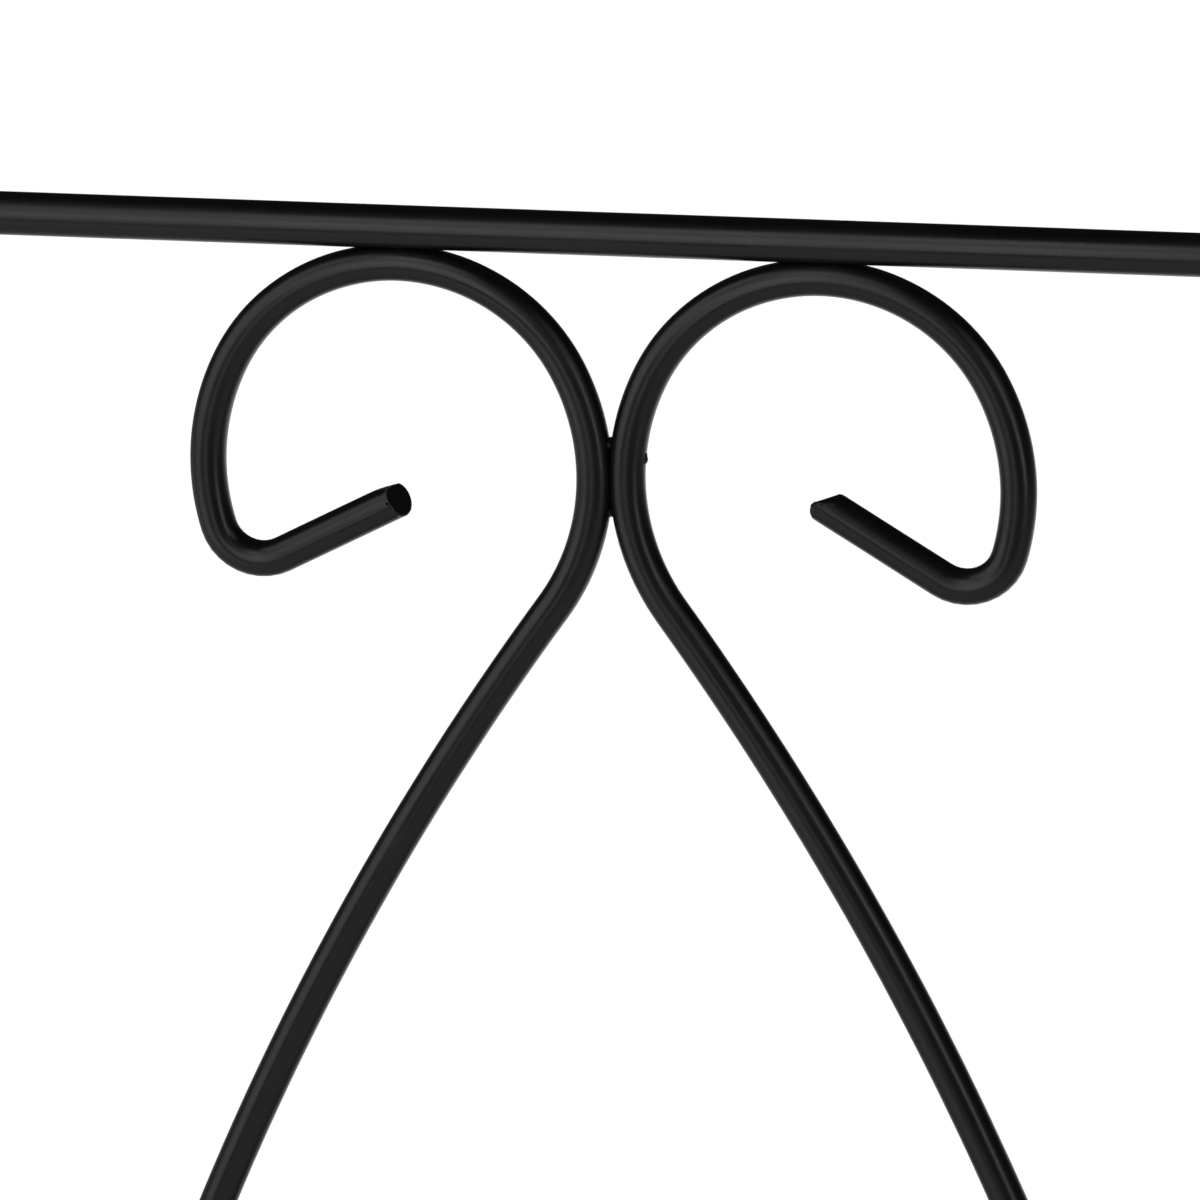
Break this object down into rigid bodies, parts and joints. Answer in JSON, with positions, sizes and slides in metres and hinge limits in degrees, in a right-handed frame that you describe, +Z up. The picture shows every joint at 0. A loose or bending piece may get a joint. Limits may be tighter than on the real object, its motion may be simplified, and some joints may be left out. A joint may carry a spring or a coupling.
{
  "type": "tabletop display easel",
  "caption": "Tabletop display easel of bent and welded steel rod, with a mirrored scroll motif under its top bar, a lipped ledge and a folding rear strut.",
  "frame": {"origin": "on the ground, in the middle of the footprint, halfway between the legs", "axes": "+X along the top bar to the viewer's right, -Y out of the front, +Z up"},
  "size_m": [0.2622, 0.1402, 0.3267],
  "materials": {
    "coated_steel": "satin black powder coat over mild steel rod",
    "coated_weld": "weld bead under the same satin black powder coat",
    "foot_vinyl": "matt black dipped vinyl"
  },
  "bodies": {
    "front_frame": {"arm_welds": "coated_weld", "crown_welds": "coated_weld", "frame_hoop": "coated_steel", "hinge_bar": "coated_steel", "hinge_bar_welds": "coated_weld", "ledge_bar": "coated_steel", "ledge_welds": "coated_weld", "left_front_foot": "foot_vinyl", "left_hinge_collar": "coated_steel", "left_ledge_arm": "coated_steel", "left_scroll": "coated_steel", "lip_rail": "coated_steel", "lip_welds": "coated_weld", "right_front_foot": "foot_vinyl", "right_hinge_collar": "coated_steel", "right_ledge_arm": "coated_steel", "right_scroll": "coated_steel", "scroll_weld": "coated_weld", "stem_welds": "coated_weld", "stop_bar": "coated_steel", "stop_welds": "coated_weld"},
    "rear_strut": {"left_strut_leg": "coated_steel", "right_strut_leg": "coated_steel", "left_hinge_sleeve": "coated_steel", "right_hinge_sleeve": "coated_steel", "strut_brace": "coated_steel", "sleeve_welds": "coated_weld", "brace_welds": "coated_weld", "left_rear_foot": "foot_vinyl", "right_rear_foot": "foot_vinyl"}
  },
  "joints": [
    {"name": "strut_fold", "type": "hinge", "parent": "front_frame", "child": "rear_strut", "pos_m": [0, -0.00524, 0.15127], "axis": [-1, 0, 0], "range_deg": [0, 38]}
  ]
}
